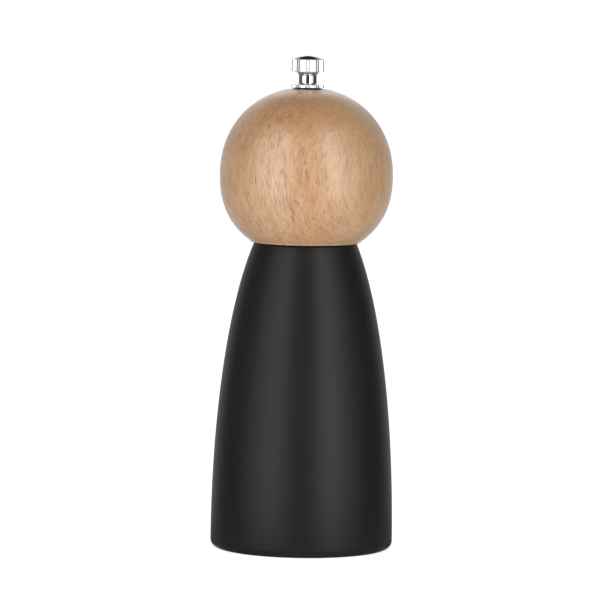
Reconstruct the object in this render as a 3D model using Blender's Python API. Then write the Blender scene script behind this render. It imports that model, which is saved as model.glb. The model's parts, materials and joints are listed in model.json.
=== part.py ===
"""Pepper mill with a ball head on a waisted body, with its whole grinding mechanism.

Metres, +Z up. The origin is the centre of the base's underside, on the mill's own axis,
and every joint's axis is that same Z axis. The mill stands at its coarsest setting.
"""

import math

import bmesh
import bpy
from mathutils import Matrix

MM = 0.001
GAP = 0.3 * MM

# Body: an elliptic flank between a round foot and a neck.
BODY_R = 30.0 * MM
BODY_WIDEST_Z = 4.0 * MM
BODY_CURVE_DEPTH = 25.3 * MM
BODY_CURVE_HEIGHT = 110.9 * MM
BODY_TOP_Z = 101.2 * MM
FOOT_ROUND = 2.5 * MM
SEAM_ROUND = 0.4 * MM
SEAM_GAP = 0.4 * MM
NECK_BORE_R = 12.3 * MM
NECK_BORE_LENGTH = 13.2 * MM
NECK_TAPER = 2.0 * MM
CHAMBER_R = 14.0 * MM
POCKET_R = 18.0 * MM
POCKET_TOP_Z = 24.0 * MM
RECESS_R = 24.0 * MM
RECESS_DEPTH = 3.0 * MM

# Head: two half ovals that meet at the widest circle, cut flat on top.
HEAD_R = 28.65 * MM
HEAD_WIDEST_Z = 123.7 * MM
HEAD_UPPER_HEIGHT = 29.1 * MM
HEAD_UPPER_POWER = 2.11
HEAD_LOWER_HEIGHT = 26.6 * MM
HEAD_LOWER_POWER = 2.27
HEAD_TOP_Z = 151.9 * MM
HEAD_BOTTOM_Z = BODY_TOP_Z + SEAM_GAP
SPIGOT_R = 12.0 * MM
SPIGOT_Z = 92.0 * MM
SPIGOT_CHAMFER = 0.4 * MM
HEAD_BORE_R = 4.2 * MM

# Ferrule, drive plate and their screws.
FERRULE_R = 4.75 * MM
FERRULE_BORE_R = 3.9 * MM
FERRULE_Z = 143.0 * MM
FERRULE_TOP_Z = 151.8 * MM
PLATE_R = 11.4 * MM
PLATE_Z = 90.2 * MM
PLATE_THICK = 1.5 * MM
PLATE_SCREW_CIRCLE_R = 8.0 * MM
PLATE_SCREWS = 2
PLATE_SCREW_FIRST_DEG = 20
PLATE_PILOT_TOP_Z = 99.6 * MM
PAN_HEAD_R = 2.3 * MM
PAN_HEAD_FLAT_R = 1.6 * MM
PAN_HEAD_EDGE = 0.8 * MM
PAN_HEAD_HEIGHT = 1.2 * MM
PAN_SHANK_LENGTH = 8.1 * MM
PAN_SCREW_LENGTH = 9.4 * MM

# Shaft: a square rod with a round thread at each end.
SQUARE_HALF = 2.5 * MM
SQUARE_HOLE_HALF = SQUARE_HALF + GAP
SQUARE_Z = 5.5 * MM
SQUARE_TOP_Z = 150.0 * MM
THREAD_R = 1.95 * MM
THREAD_HOLE_R = THREAD_R + GAP
THREAD_PITCH = 0.7 * MM
THREAD_CHAMFER = 0.4 * MM
ADJUST_TURNS = 2
GRIND_TRAVEL = ADJUST_TURNS * THREAD_PITCH
SHAFT_Z = 0.9 * MM
SHAFT_TOP_Z = 158.5 * MM
CLIP_Z = 28.3 * MM
CLIP_THICK = 0.6 * MM
CLIP_GROOVE_R = 2.1 * MM
CLIP_R = 4.9 * MM
CLIP_MOUTH_DEG = 40
CLIP_SECTIONS = 14

# Rotor: a bell-shaped toothed cone on a six-sided carrier.
ROTOR_Z = 1.4 * MM
ROTOR_TOP_Z = 10.6 * MM
ROTOR_BEND_Z = 5.6 * MM
ROTOR_R = 13.0 * MM
ROTOR_BEND_R = 11.0 * MM
ROTOR_TOP_R = 7.6 * MM
ROTOR_HOLLOW_R = 9.0 * MM
CORE_HEX_HALF = 4.4 * MM
CORE_FLANGE_R = 6.8 * MM
CORE_Z = SQUARE_Z
CORE_FLANGE_TOP_Z = 6.9 * MM
CORE_TOP_Z = 11.6 * MM
WASHER_Z = 4.4 * MM
WASHER_THICK = 0.8 * MM
WASHER_R = 5.0 * MM
NUT_Z = 1.0 * MM
NUT_TOP_Z = 4.1 * MM
NUT_HALF = 3.5 * MM

# Stator: the toothed ring round the rotor, a grinding gap away from it at the finest setting.
FINEST_GAP = 0.35 * MM
STATOR_Z = 3.6 * MM
STATOR_TOP_Z = 17.7 * MM
STATOR_R = 15.3 * MM
STATOR_THROAT_R = 12.0 * MM
STATOR_THROAT_Z = 16.2 * MM
STATOR_MOUTH_R = 13.2 * MM

# Saw teeth, slanting up both burrs. Each level has its coarse and fine depth, and its turn in sides.
COARSE_TEETH = 8
FINE_TEETH = 24
ROTOR_FOOT_TEETH = (0.0, 0.5 * MM, 0)
ROTOR_BEND_TEETH = (0.5 * MM, 0.8 * MM, 2)
ROTOR_TOP_TEETH = (1.0 * MM, 0.1 * MM, 4)
STATOR_FOOT_TEETH = (0.0, 0.4 * MM, 0)
STATOR_BEND_TEETH = (0.2 * MM, 0.6 * MM, -1)
STATOR_THROAT_TEETH = (0.7 * MM, 0.2 * MM, -3)
TOOTH_START = 1e-6

# Housing, its screws and the bridge above it.
HOUSING_Z = 0.5 * MM
HOUSING_LIP_R = 13.7 * MM
HOUSING_R = 17.6 * MM
HOUSING_FLANGE_R = 23.6 * MM
HOUSING_FLANGE_TOP_Z = RECESS_DEPTH - GAP
HOUSING_SCREW_CIRCLE_R = 20.6 * MM
HOUSING_SCREWS = 3
HOUSING_PILOT_TOP_Z = 13.6 * MM
COUNTERSINK_R = 3.02 * MM
COUNTERSINK_DEPTH = 1.37 * MM
COUNTERSINK_PAST = 0.2 * MM
FLAT_HEAD_R = 2.2 * MM
FLAT_HEAD_HEIGHT = 1.05 * MM
FLAT_HEAD_SUNK = 0.2 * MM
FLAT_SHANK_LENGTH = 11.0 * MM
FLAT_SCREW_LENGTH = 12.6 * MM
SCREW_R = 1.15 * MM
SCREW_HOLE_R = SCREW_R + GAP
PILOT_POINT = 0.2 * MM
BRIDGE_Z = STATOR_TOP_Z + GAP
BRIDGE_TOP_Z = POCKET_TOP_Z - GAP
BRIDGE_INNER_R = 13.4 * MM
BRIDGE_ARMS = 3
BRIDGE_ARM_WIDTH = 3.4 * MM
BRIDGE_ARM_START_R = 6.5 * MM
BRIDGE_ARM_END_R = 15.4 * MM
BRIDGE_ARM_Z = 20.8 * MM
BRIDGE_ARM_TOP_Z = 23.2 * MM
HUB_R = 7.3 * MM
HUB_BORE_R = 5.5 * MM
HUB_Z = 18.9 * MM
HUB_TOP_Z = 27.7 * MM
BUSH_R = 5.2 * MM
BUSH_FLANGE_R = 6.8 * MM
BUSH_Z = 17.4 * MM
BUSH_TOP_Z = 28.0 * MM

# Spring: from the carrier's top to the bush's flange.
WIRE_R = 0.4 * MM
SPRING_R = 4.3 * MM
SPRING_TURNS = 3.5
SPRING_END_FLATTENING = 0.5
SPRING_SECTIONS_PER_TURN = 14
WIRE_SIDES = 6

# Knob: a foot flange, a waist and a head with a domed top; the flange and the head are fluted.
KNOB_Z = 152.75 * MM
KNOB_FOOT_R = 5.4 * MM
KNOB_FOOT_TOP_Z = 153.95 * MM
KNOB_WAIST_R = 3.03 * MM
KNOB_HEAD_Z = 158.0 * MM
KNOB_HEAD_R = 5.35 * MM
KNOB_HEAD_TOP_Z = 162.25 * MM
KNOB_TOP_Z = 163.85 * MM
KNOB_EDGE = 0.2 * MM
KNOB_FILLET = 1.25 * MM
KNOB_BORE_TOP_Z = 160.9 * MM
KNOB_FLUTES = 36
KNOB_FLUTE_DEPTH = 0.36 * MM
KNOB_ROOT_R = 4.95 * MM
KNOB_WASHER_Z = 152.15 * MM
KNOB_WASHER_TOP_Z = 152.5 * MM
KNOB_WASHER_R = 5.0 * MM

CUT_PAST = 0.5 * MM
TURNED_SIDES = 48
TOOTHED_SIDES = 72
SMALL_SIDES = 24
SCREW_SIDES = 12
SHARP_ANGLE = math.radians(35)


def clear_scene():
    for item in list(bpy.data.objects):
        bpy.data.objects.remove(item, do_unlink=True)


def material(name, colour, roughness, metallic=0.0):
    made = bpy.data.materials.new(name)
    made.use_nodes = True
    shader = made.node_tree.nodes["Principled BSDF"]
    shader.inputs["Base Color"].default_value = (*colour, 1.0)
    shader.inputs["Roughness"].default_value = roughness
    shader.inputs["Metallic"].default_value = metallic
    return made


# Outlines: each gives the radius at an angle round the axis.


def regular(sides, half_width):
    """A regular polygon with a corner at half a side's angle for four sides, or at 0 for six."""
    sector = math.tau / sides
    shift = 0.0 if sides == 4 else sector / 2

    def radius(angle):
        from_flat = (angle + shift + sector / 2) % sector - sector / 2
        return half_width / math.cos(from_flat)

    return radius


def fluted(outer, depth, flutes):
    def radius(angle):
        return outer - depth * (0.5 - 0.5 * math.cos(flutes * angle))

    return radius


def toothed(tip, teeth, sign, z):
    """A level of saw teeth cut below the tip radius: outwards facing for sign 1, inwards for -1."""
    coarse_depth, fine_depth, turn = teeth

    def radius(angle):
        coarse = (angle * COARSE_TEETH / math.tau + TOOTH_START) % 1.0
        fine = (angle * FINE_TEETH / math.tau + TOOTH_START) % 1.0
        return tip - sign * (coarse_depth * coarse + fine_depth * fine)

    return radius, z, turn


def arc(centre_r, centre_z, radius, start_deg, end_deg, steps):
    """Points (r, z) along a rounded edge, both ends included."""
    points = []
    for step in range(steps + 1):
        angle = math.radians(start_deg + (end_deg - start_deg) * step / steps)
        points.append((centre_r + radius * math.cos(angle), centre_z + radius * math.sin(angle)))
    return points


# Solids.


def object_from(mesh, name, finish, base_z):
    """An object whose origin is on the axis at base_z, from a bmesh in world coordinates."""
    bmesh.ops.recalc_face_normals(mesh, faces=mesh.faces)
    bmesh.ops.translate(mesh, verts=mesh.verts, vec=(0.0, 0.0, -base_z))
    data = bpy.data.meshes.new(name)
    mesh.to_mesh(data)
    mesh.free()
    data.shade_smooth()
    data.set_sharp_from_angle(angle=SHARP_ANGLE)
    made = bpy.data.objects.new(name, data)
    made.location.z = base_z
    bpy.context.scene.collection.objects.link(made)
    if finish:
        data.materials.append(finish)
    return made


def faces_between(mesh, lower, upper):
    """Faces between two rings, either of which may be a single point."""
    count = max(len(lower), len(upper))
    for index in range(count):
        after = (index + 1) % count
        corners = [
            lower[index % len(lower)],
            lower[after % len(lower)],
            upper[after % len(upper)],
            upper[index % len(upper)],
        ]
        mesh.faces.new(list(dict.fromkeys(corners)))


def turned(name, levels, finish, sides=TURNED_SIDES, centre=(0.0, 0.0)):
    """One solid round Z. Each level is (outline, z): a radius, a function of angle, or 0 for a point.

    A chain that starts and ends at a point is closed by them, and any other closes into a ring.
    A level's third value is the number of sides by which it is turned, for slanting teeth.
    """
    mesh = bmesh.new()
    rings = []
    for outline, z, *turn in levels:
        if outline == 0:
            rings.append([mesh.verts.new((*centre, z))])
            continue
        ring = []
        for side in range(sides):
            angle = math.tau * side / sides
            radius = outline(angle) if callable(outline) else outline
            angle += math.tau * sum(turn) / sides
            x = centre[0] + radius * math.cos(angle)
            y = centre[1] + radius * math.sin(angle)
            ring.append(mesh.verts.new((x, y, z)))
        rings.append(ring)
    for lower, upper in zip(rings, rings[1:]):
        faces_between(mesh, lower, upper)
    if len(rings[0]) > 1:
        faces_between(mesh, rings[-1], rings[0])
    return object_from(mesh, name, finish, min(level[1] for level in levels))


def helper(made):
    """Keeps a cutting or joining shape out of the part."""
    made.hide_render = True
    made.display_type = "WIRE"
    return made


def combine(target, other, operation):
    step = target.modifiers.new(other.name, "BOOLEAN")
    step.operation = operation
    step.object = helper(other)


def on_circle(radius, count, first_deg):
    places = []
    for index in range(count):
        angle = math.radians(first_deg) + math.tau * index / count
        places.append((radius * math.cos(angle), radius * math.sin(angle)))
    return places


HOUSING_SCREW_PLACES = on_circle(HOUSING_SCREW_CIRCLE_R, HOUSING_SCREWS, 90)
PLATE_SCREW_PLACES = on_circle(PLATE_SCREW_CIRCLE_R, PLATE_SCREWS, PLATE_SCREW_FIRST_DEG)


# Body and head.


def body_radius(z):
    rise = (z - BODY_WIDEST_Z) / BODY_CURVE_HEIGHT
    return BODY_R - BODY_CURVE_DEPTH * (1 - math.sqrt(1 - rise**2))


def body_flank(top_z, bottom_z, steps):
    """The outer line from top to bottom, in even steps of the ellipse's angle."""
    first = math.asin((top_z - BODY_WIDEST_Z) / BODY_CURVE_HEIGHT)
    last = math.asin((bottom_z - BODY_WIDEST_Z) / BODY_CURVE_HEIGHT)
    line = []
    for step in range(steps + 1):
        angle = first + (last - first) * step / steps
        z = BODY_WIDEST_Z + BODY_CURVE_HEIGHT * math.sin(angle)
        line.append((body_radius(z), z))
    return line


def bore_pilots(piece, places, face_z, top_z):
    """Blind holes for screws, up from a face that looks down."""
    low_z = face_z - CUT_PAST
    levels = [(0, low_z), (SCREW_HOLE_R, low_z), (SCREW_HOLE_R, top_z), (0, top_z + PILOT_POINT)]
    for number, place in enumerate(places, 1):
        cutter = turned(f"{piece.name}_pilot_{number}", levels, None, SCREW_SIDES, place)
        combine(piece, cutter, "DIFFERENCE")


def make_body(finish):
    edge_z = BODY_TOP_Z - SEAM_ROUND
    neck_z = BODY_TOP_Z - NECK_BORE_LENGTH
    levels = arc(body_radius(edge_z) - SEAM_ROUND, edge_z, SEAM_ROUND, 90, 0, 2)
    levels += body_flank(edge_z, FOOT_ROUND, 11)[1:]
    levels += arc(body_radius(FOOT_ROUND) - FOOT_ROUND, FOOT_ROUND, FOOT_ROUND, 0, -90, 4)[1:]
    levels += [(RECESS_R, 0.0), (RECESS_R, RECESS_DEPTH), (POCKET_R, RECESS_DEPTH)]
    levels += [(POCKET_R, POCKET_TOP_Z), (CHAMBER_R, POCKET_TOP_Z)]
    levels += [(CHAMBER_R, neck_z - NECK_TAPER), (NECK_BORE_R, neck_z), (NECK_BORE_R, BODY_TOP_Z)]
    body = turned("body", levels, finish)
    bore_pilots(body, HOUSING_SCREW_PLACES, RECESS_DEPTH, HOUSING_PILOT_TOP_Z)
    return body


def half_oval(height, power, end_z, steps):
    """Points from the widest circle to end_z, on the upper half for a positive height."""
    reach = (end_z - HEAD_WIDEST_Z) / height
    last = math.asin(reach ** (power / 2))
    line = []
    for step in range(steps + 1):
        angle = last * step / steps
        radius = HEAD_R * math.cos(angle) ** (2 / power)
        line.append((radius, HEAD_WIDEST_Z + height * math.sin(angle) ** (2 / power)))
    return line


def make_head(finish):
    edge_z = HEAD_BOTTOM_Z + SEAM_ROUND
    upper = half_oval(HEAD_UPPER_HEIGHT, HEAD_UPPER_POWER, HEAD_TOP_Z, 9)
    lower = half_oval(-HEAD_LOWER_HEIGHT, HEAD_LOWER_POWER, edge_z, 8)
    ferrule_hole_r = FERRULE_R + GAP
    levels = [(ferrule_hole_r, HEAD_TOP_Z)] + upper[::-1] + lower[1:]
    levels += arc(lower[-1][0] - SEAM_ROUND, edge_z, SEAM_ROUND, 0, -90, 2)[1:]
    levels += [(SPIGOT_R, HEAD_BOTTOM_Z), (SPIGOT_R, SPIGOT_Z + SPIGOT_CHAMFER)]
    levels += [(SPIGOT_R - SPIGOT_CHAMFER, SPIGOT_Z)]
    levels += [(HEAD_BORE_R, SPIGOT_Z), (HEAD_BORE_R, FERRULE_Z - GAP), (ferrule_hole_r, FERRULE_Z - GAP)]
    head = turned("head", levels, finish)
    bore_pilots(head, PLATE_SCREW_PLACES, SPIGOT_Z, PLATE_PILOT_TOP_Z)
    return head


def tube(name, inner, outer, low_z, high_z, finish, sides):
    levels = [(inner, low_z), (outer, low_z), (outer, high_z), (inner, high_z)]
    return turned(name, levels, finish, sides)


def make_head_ferrule(finish):
    return tube("head_ferrule", FERRULE_BORE_R, FERRULE_R, FERRULE_Z, FERRULE_TOP_Z, finish, SMALL_SIDES)


def make_drive_plate(finish):
    square = regular(4, SQUARE_HOLE_HALF)
    top_z = PLATE_Z + PLATE_THICK
    plate = tube("drive_plate", square, PLATE_R, PLATE_Z, top_z, finish, TURNED_SIDES)
    for number, place in enumerate(PLATE_SCREW_PLACES, 1):
        low, high = PLATE_Z - CUT_PAST, top_z + CUT_PAST
        hole = [(0, low), (SCREW_HOLE_R, low), (SCREW_HOLE_R, high), (0, high)]
        cutter = turned(f"plate_hole_{number}", hole, None, SCREW_SIDES, place)
        combine(plate, cutter, "DIFFERENCE")
    return plate


def make_drive_plate_screws(finish):
    """Pan heads below the plate, points up in the spigot."""
    seat_z = PLATE_Z - GAP
    levels = [
        (0, seat_z - PAN_HEAD_HEIGHT),
        (PAN_HEAD_FLAT_R, seat_z - PAN_HEAD_HEIGHT),
        (PAN_HEAD_R, seat_z - PAN_HEAD_EDGE),
        (PAN_HEAD_R, seat_z),
        (SCREW_R, seat_z),
        (SCREW_R, seat_z + PAN_SHANK_LENGTH),
        (0, seat_z + PAN_SCREW_LENGTH),
    ]
    screws = []
    for number, place in enumerate(PLATE_SCREW_PLACES, 1):
        screws.append(turned(f"drive_plate_screw_{number}", levels, finish, SCREW_SIDES, place))
    return screws


# Shaft and rotor.


def make_shaft(finish):
    square = regular(4, SQUARE_HALF)
    groove_low = CLIP_Z - GAP
    groove_high = CLIP_Z + CLIP_THICK + GAP
    levels = [
        (0, SHAFT_Z),
        (THREAD_R - THREAD_CHAMFER, SHAFT_Z),
        (THREAD_R, SHAFT_Z + THREAD_CHAMFER),
        (THREAD_R, SQUARE_Z),
        (square, SQUARE_Z),
        (square, groove_low),
        (CLIP_GROOVE_R, groove_low),
        (CLIP_GROOVE_R, groove_high),
        (square, groove_high),
        (square, SQUARE_TOP_Z),
        (THREAD_R, SQUARE_TOP_Z),
        (THREAD_R, SHAFT_TOP_Z - THREAD_CHAMFER),
        (THREAD_R - THREAD_CHAMFER, SHAFT_TOP_Z),
        (0, SHAFT_TOP_Z),
    ]
    return turned("shaft", levels, finish, 16)


def make_shaft_clip(finish):
    """An open ring, its mouth towards +X."""
    mesh = bmesh.new()
    rings = []
    for step in range(CLIP_SECTIONS + 1):
        angle = math.radians(CLIP_MOUTH_DEG + (360 - 2 * CLIP_MOUTH_DEG) * step / CLIP_SECTIONS)
        section = []
        for radius, z in (
            (CLIP_GROOVE_R + GAP, CLIP_Z),
            (CLIP_R, CLIP_Z),
            (CLIP_R, CLIP_Z + CLIP_THICK),
            (CLIP_GROOVE_R + GAP, CLIP_Z + CLIP_THICK),
        ):
            section.append(mesh.verts.new((radius * math.cos(angle), radius * math.sin(angle), z)))
        rings.append(section)
    for lower, upper in zip(rings, rings[1:]):
        faces_between(mesh, lower, upper)
    mesh.faces.new(rings[0])
    mesh.faces.new(rings[-1])
    return object_from(mesh, "shaft_clip", finish, CLIP_Z)


def make_rotor_burr(finish):
    bore = regular(6, CORE_HEX_HALF + GAP)
    levels = [
        toothed(ROTOR_R, ROTOR_FOOT_TEETH, 1, ROTOR_Z),
        toothed(ROTOR_BEND_R, ROTOR_BEND_TEETH, 1, ROTOR_BEND_Z),
        toothed(ROTOR_TOP_R, ROTOR_TOP_TEETH, 1, ROTOR_TOP_Z),
        (bore, ROTOR_TOP_Z),
        (bore, CORE_FLANGE_TOP_Z + GAP),
        (CORE_FLANGE_R + GAP, CORE_FLANGE_TOP_Z + GAP),
        (ROTOR_HOLLOW_R, ROTOR_Z),
    ]
    return turned("rotor_burr", levels, finish, TOOTHED_SIDES)


def make_stator_burr(finish):
    """Its lower stretch runs parallel to the rotor's, above it the throat widens for the peppercorns."""
    slope = (ROTOR_R - ROTOR_BEND_R) / (ROTOR_BEND_Z - ROTOR_Z)

    def grinding_r(z):
        rotor_r = ROTOR_R - slope * (z - GRIND_TRAVEL - ROTOR_Z)
        return rotor_r + FINEST_GAP

    bend_z = ROTOR_BEND_Z + GRIND_TRAVEL
    levels = [
        toothed(grinding_r(STATOR_Z), STATOR_FOOT_TEETH, -1, STATOR_Z),
        toothed(grinding_r(bend_z), STATOR_BEND_TEETH, -1, bend_z),
        toothed(STATOR_THROAT_R, STATOR_THROAT_TEETH, -1, STATOR_THROAT_Z),
        (STATOR_MOUTH_R, STATOR_TOP_Z, STATOR_THROAT_TEETH[2]),
        (STATOR_R, STATOR_TOP_Z),
        (STATOR_R, STATOR_Z),
    ]
    return turned("stator_burr", levels, finish, TOOTHED_SIDES)


def make_rotor_core(finish):
    square = regular(4, SQUARE_HOLE_HALF)
    hexagon = regular(6, CORE_HEX_HALF)
    levels = [
        (square, CORE_Z),
        (CORE_FLANGE_R, CORE_Z),
        (CORE_FLANGE_R, CORE_FLANGE_TOP_Z),
        (hexagon, CORE_FLANGE_TOP_Z),
        (hexagon, CORE_TOP_Z),
        (square, CORE_TOP_Z),
    ]
    return turned("rotor_core", levels, finish, SMALL_SIDES)


def make_rotor_washer(finish):
    top_z = WASHER_Z + WASHER_THICK
    return tube("rotor_washer", THREAD_HOLE_R, WASHER_R, WASHER_Z, top_z, finish, SMALL_SIDES)


def make_rotor_nut(finish):
    hexagon = regular(6, NUT_HALF)
    return tube("rotor_nut", THREAD_HOLE_R, hexagon, NUT_Z, NUT_TOP_Z, finish, SMALL_SIDES)


def make_spring(finish):
    """Its coils lie closer together towards both ends."""
    low_z = CORE_TOP_Z + GAP + WIRE_R
    height = BUSH_Z - GAP - WIRE_R - low_z
    mesh = bmesh.new()
    sections = int(SPRING_TURNS * SPRING_SECTIONS_PER_TURN)
    rings = []
    for step in range(sections + 1):
        part = step / sections
        easing = SPRING_END_FLATTENING * math.sin(math.tau * part) / math.tau
        angle = math.tau * SPRING_TURNS * part
        z = low_z + height * (part - easing)
        ring = []
        for side in range(WIRE_SIDES):
            around = math.tau * side / WIRE_SIDES
            radius = SPRING_R + WIRE_R * math.cos(around)
            point = (radius * math.cos(angle), radius * math.sin(angle), z + WIRE_R * math.sin(around))
            ring.append(mesh.verts.new(point))
        rings.append(ring)
    for lower, upper in zip(rings, rings[1:]):
        faces_between(mesh, lower, upper)
    mesh.faces.new(rings[0])
    mesh.faces.new(rings[-1])
    return object_from(mesh, "spring", finish, CORE_TOP_Z + GAP)


# Housing, bridge and bush.


def make_burr_housing(finish):
    stator_hole_r = STATOR_R + GAP
    lip_top_z = STATOR_Z - GAP
    levels = [
        (HOUSING_LIP_R, HOUSING_Z),
        (HOUSING_FLANGE_R, HOUSING_Z),
        (HOUSING_FLANGE_R, HOUSING_FLANGE_TOP_Z),
        (HOUSING_R, HOUSING_FLANGE_TOP_Z),
        (HOUSING_R, STATOR_TOP_Z),
        (stator_hole_r, STATOR_TOP_Z),
        (stator_hole_r, lip_top_z),
        (HOUSING_LIP_R, lip_top_z),
    ]
    housing = turned("burr_housing", levels, finish)
    low_z = HOUSING_Z - COUNTERSINK_PAST
    hole = [
        (0, low_z),
        (COUNTERSINK_R, low_z),
        (SCREW_HOLE_R, HOUSING_Z + COUNTERSINK_DEPTH),
        (SCREW_HOLE_R, RECESS_DEPTH),
        (0, RECESS_DEPTH),
    ]
    for number, place in enumerate(HOUSING_SCREW_PLACES, 1):
        cutter = turned(f"housing_hole_{number}", hole, None, SCREW_SIDES, place)
        combine(housing, cutter, "DIFFERENCE")
    return housing


def make_housing_screws(finish):
    """Countersunk heads in the flange, points up in the wood."""
    head_z = HOUSING_Z + FLAT_HEAD_SUNK
    levels = [
        (0, head_z),
        (FLAT_HEAD_R, head_z),
        (SCREW_R, head_z + FLAT_HEAD_HEIGHT),
        (SCREW_R, head_z + FLAT_SHANK_LENGTH),
        (0, head_z + FLAT_SCREW_LENGTH),
    ]
    screws = []
    for number, place in enumerate(HOUSING_SCREW_PLACES, 1):
        screws.append(turned(f"housing_screw_{number}", levels, finish, SCREW_SIDES, place))
    return screws


def make_bridge(finish):
    """An outer ring and a hub, joined by arms between which the peppercorns fall."""
    spider = tube("bridge", BRIDGE_INNER_R, HOUSING_R, BRIDGE_Z, BRIDGE_TOP_Z, finish, TURNED_SIDES)
    hub = tube("bridge_hub", HUB_BORE_R, HUB_R, HUB_Z, HUB_TOP_Z, None, SMALL_SIDES)
    combine(spider, hub, "UNION")
    length = BRIDGE_ARM_END_R - BRIDGE_ARM_START_R
    for number in range(1, BRIDGE_ARMS + 1):
        angle = math.tau * number / BRIDGE_ARMS
        mesh = bmesh.new()
        bmesh.ops.create_cube(mesh, size=1.0)
        size = (length, BRIDGE_ARM_WIDTH, BRIDGE_ARM_TOP_Z - BRIDGE_ARM_Z)
        bmesh.ops.scale(mesh, verts=mesh.verts, vec=size)
        middle = (BRIDGE_ARM_START_R + length / 2, 0.0, (BRIDGE_ARM_Z + BRIDGE_ARM_TOP_Z) / 2)
        bmesh.ops.translate(mesh, verts=mesh.verts, vec=middle)
        turn = Matrix.Rotation(angle, 3, "Z")
        bmesh.ops.rotate(mesh, verts=mesh.verts, cent=(0.0, 0.0, 0.0), matrix=turn)
        combine(spider, object_from(mesh, f"bridge_arm_{number}", None, BRIDGE_ARM_Z), "UNION")
    return spider


def make_guide_bush(finish):
    square = regular(4, SQUARE_HOLE_HALF)
    flange_top_z = HUB_Z - GAP
    levels = [
        (square, BUSH_Z),
        (BUSH_FLANGE_R, BUSH_Z),
        (BUSH_FLANGE_R, flange_top_z),
        (BUSH_R, flange_top_z),
        (BUSH_R, BUSH_TOP_Z),
        (square, BUSH_TOP_Z),
    ]
    return turned("guide_bush", levels, finish, SMALL_SIDES)


# Knob.


def make_knob(finish):
    foot = fluted(KNOB_FOOT_R, KNOB_FLUTE_DEPTH, KNOB_FLUTES)
    head = fluted(KNOB_HEAD_R, KNOB_FLUTE_DEPTH, KNOB_FLUTES)
    fillet_r = KNOB_WAIST_R + KNOB_FILLET
    levels = [
        (0, KNOB_BORE_TOP_Z),
        (THREAD_HOLE_R, KNOB_BORE_TOP_Z),
        (THREAD_HOLE_R, KNOB_Z),
        (KNOB_ROOT_R, KNOB_Z),
        (foot, KNOB_Z + KNOB_EDGE),
        (foot, KNOB_FOOT_TOP_Z - KNOB_EDGE),
        (KNOB_ROOT_R, KNOB_FOOT_TOP_Z),
    ]
    levels += arc(fillet_r, KNOB_FOOT_TOP_Z + KNOB_FILLET, KNOB_FILLET, -90, -180, 3)
    levels += arc(fillet_r, KNOB_HEAD_Z - KNOB_FILLET, KNOB_FILLET, 180, 90, 3)
    levels += [
        (KNOB_ROOT_R, KNOB_HEAD_Z),
        (head, KNOB_HEAD_Z + KNOB_EDGE),
        (head, KNOB_HEAD_TOP_Z - KNOB_EDGE),
        (KNOB_ROOT_R, KNOB_HEAD_TOP_Z),
    ]
    dome_rise = KNOB_TOP_Z - KNOB_HEAD_TOP_Z
    sphere_r = (KNOB_ROOT_R**2 + dome_rise**2) / (2 * dome_rise)
    slope_deg = math.degrees(math.asin(KNOB_ROOT_R / sphere_r))
    dome = arc(0.0, KNOB_TOP_Z - sphere_r, sphere_r, 90 - slope_deg, 90, 4)
    levels += dome[1:-1] + [(0, KNOB_TOP_Z)]
    return turned("knob", levels, finish, 2 * KNOB_FLUTES)


def make_knob_washer(finish):
    low_z, high_z = KNOB_WASHER_Z, KNOB_WASHER_TOP_Z
    return tube("knob_washer", THREAD_HOLE_R, KNOB_WASHER_R, low_z, high_z, finish, SMALL_SIDES)


def body_frame(name, z, pieces, parent=None):
    """An empty on the joint's axis that carries the pieces which move together."""
    frame = bpy.data.objects.new(name, None)
    frame.location.z = z - (parent["height"] if parent else 0.0)
    frame["height"] = z
    frame.parent = parent
    bpy.context.scene.collection.objects.link(frame)
    for piece in pieces:
        piece.parent = frame
        piece.location.z -= z
    return frame


def main():
    clear_scene()
    lacquer = material("black_lacquer", (0.012, 0.012, 0.013), 0.4)
    beech = material("beech", (0.62, 0.40, 0.22), 0.5)
    chrome = material("chrome", (0.83, 0.83, 0.84), 0.1, 1.0)
    steel = material("steel", (0.55, 0.55, 0.56), 0.3, 1.0)
    ceramic = material("ceramic", (0.85, 0.83, 0.78), 0.45)
    moulded = material("black_plastic", (0.02, 0.02, 0.022), 0.5)
    nylon = material("nylon", (0.75, 0.73, 0.66), 0.45)

    still = [make_body(lacquer), make_burr_housing(moulded), make_bridge(moulded)]
    still += [make_stator_burr(ceramic), *make_housing_screws(steel)]
    mill = body_frame("mill_body_frame", 0.0, still)
    guide = body_frame("guide_frame", BUSH_Z, [make_guide_bush(nylon)], mill)
    spindle = [make_shaft(steel), make_shaft_clip(steel), make_rotor_burr(ceramic)]
    spindle += [make_rotor_core(nylon), make_rotor_washer(steel), make_rotor_nut(steel), make_spring(steel)]
    body_frame("spindle_frame", ROTOR_Z, spindle, guide)
    top = [make_head(beech), make_head_ferrule(steel), make_drive_plate(steel)]
    top += make_drive_plate_screws(steel)
    head = body_frame("head_frame", HEAD_BOTTOM_Z, top, guide)
    washer = body_frame("knob_washer_frame", KNOB_WASHER_Z, [make_knob_washer(moulded)], head)
    body_frame("knob_frame", KNOB_Z, [make_knob(chrome)], washer)


main()
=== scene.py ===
# The looks of the ball-head pepper mill: turned wood, lacquer, chrome, ceramic and steel.
# Metres, +Z up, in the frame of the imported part. Every turned piece is a profile of (r, z)
# points swept round the mill's axis, and its outer levels and radii are read from the part.

import json
import math

import bmesh
import bpy
from mathutils import Matrix, Vector


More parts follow.
